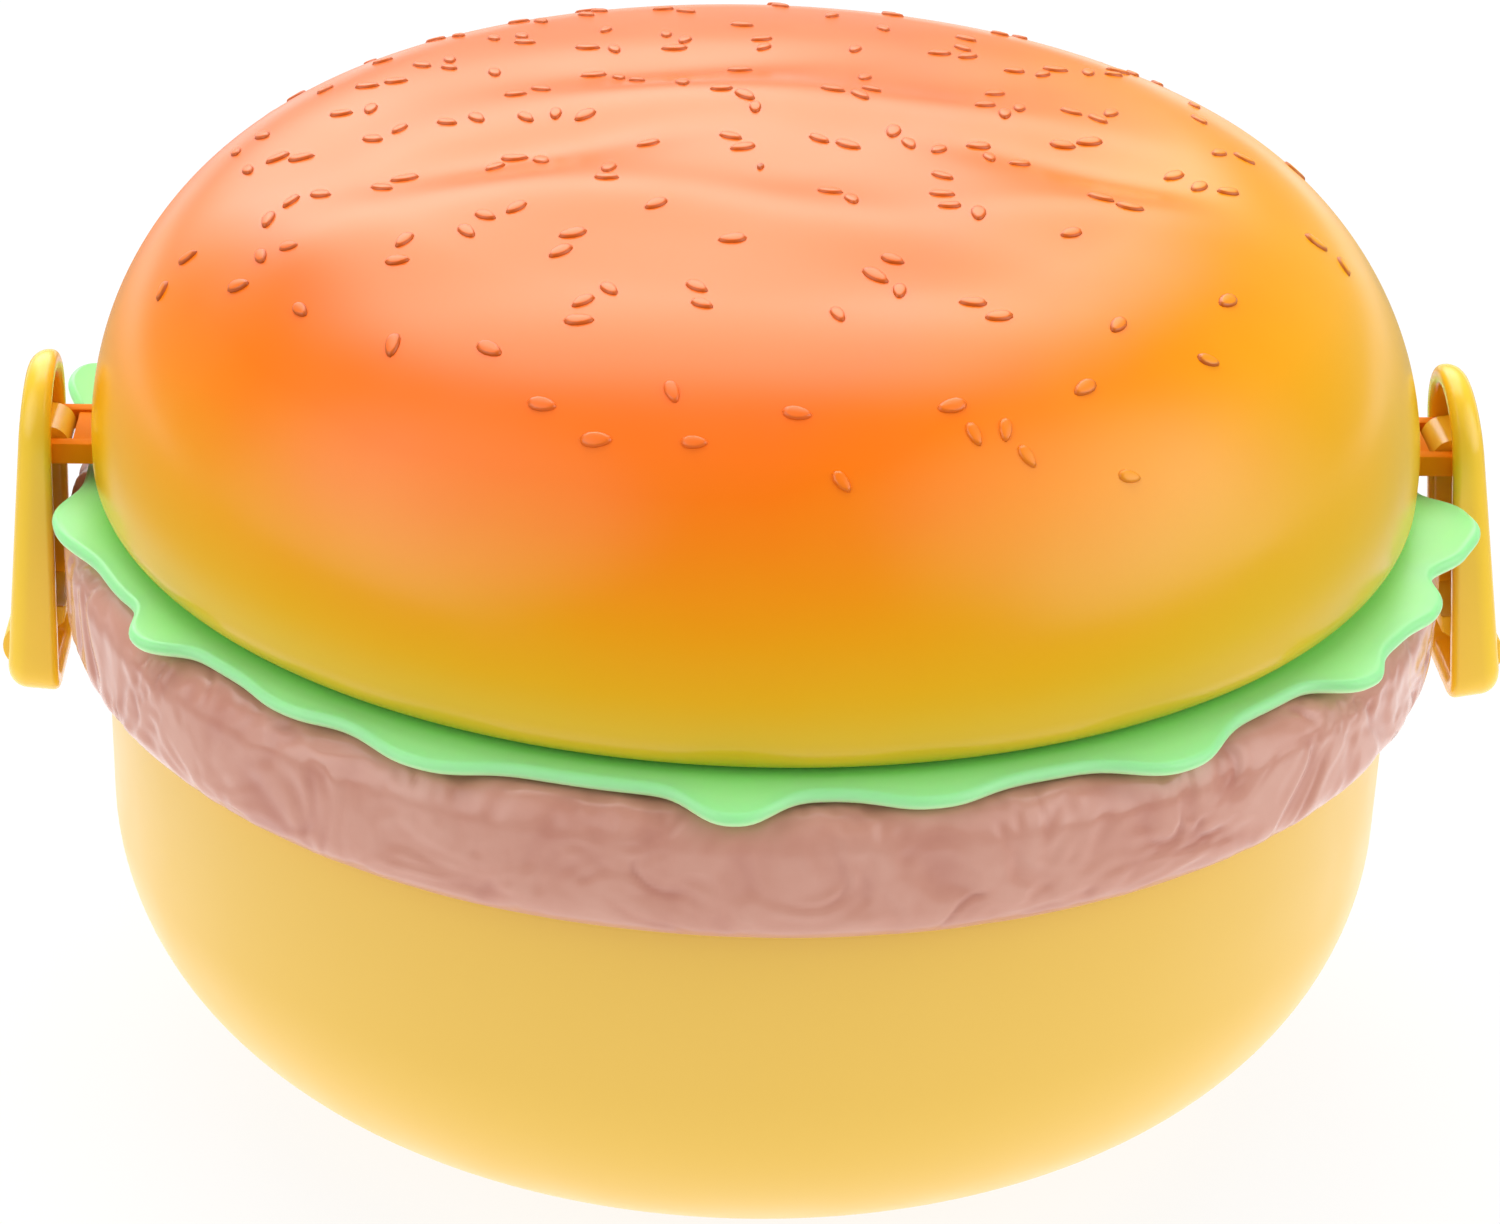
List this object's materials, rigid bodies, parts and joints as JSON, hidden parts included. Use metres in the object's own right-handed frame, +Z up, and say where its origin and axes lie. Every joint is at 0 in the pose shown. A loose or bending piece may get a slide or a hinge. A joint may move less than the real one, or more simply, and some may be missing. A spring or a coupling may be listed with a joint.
{
  "type": "lunch box",
  "caption": "Round lunch box shaped like a hamburger: bowl, pressed-on collar, lift-out tray with a leafy brim, domed lid with a seal, and hinged clips at its sides.",
  "frame": {"origin": "middle of the bowl's flat foot, on the ground", "axes": "+Z up through the middle of the lid; +X towards the right clip, along the line through both clips; the picture looks from -Y"},
  "size_m": [0.1653, 0.1504, 0.1052],
  "materials": {
    "bowl_plastic": "satin",
    "patty_plastic": "satin",
    "lettuce_plastic": "glossy",
    "lid_plastic": "satin",
    "seal_rubber": "satin",
    "clip_plastic": "glossy"
  },
  "bodies": {
    "base": {"bottom_bun_bowl": "bowl_plastic", "patty_collar": "patty_plastic"},
    "tray": {"lettuce_tray": "lettuce_plastic"},
    "lid": {"top_bun_lid": "lid_plastic", "seal_ring": "seal_rubber"},
    "left_clip_body": {"left_clip": "clip_plastic"},
    "right_clip_body": {"right_clip": "clip_plastic"}
  },
  "joints": [
    {"name": "tray_lift", "type": "slide", "parent": "base", "child": "tray", "axis": [0, 0, 1], "range_m": [0, 0.06]},
    {"name": "lid_lift", "type": "slide", "parent": "tray", "child": "lid", "axis": [0, 0, 1], "range_m": [0, 0.06]},
    {"name": "left_clip_hinge", "type": "hinge", "parent": "lid", "child": "left_clip_body", "pos_m": [-0.0757, 0, 0.0673], "axis": [0, 1, 0], "range_deg": [-3.4, 26]},
    {"name": "right_clip_hinge", "type": "hinge", "parent": "lid", "child": "right_clip_body", "pos_m": [0.0757, 0, 0.0673], "axis": [0, -1, 0], "range_deg": [-8.2, 21.2]}
  ]
}
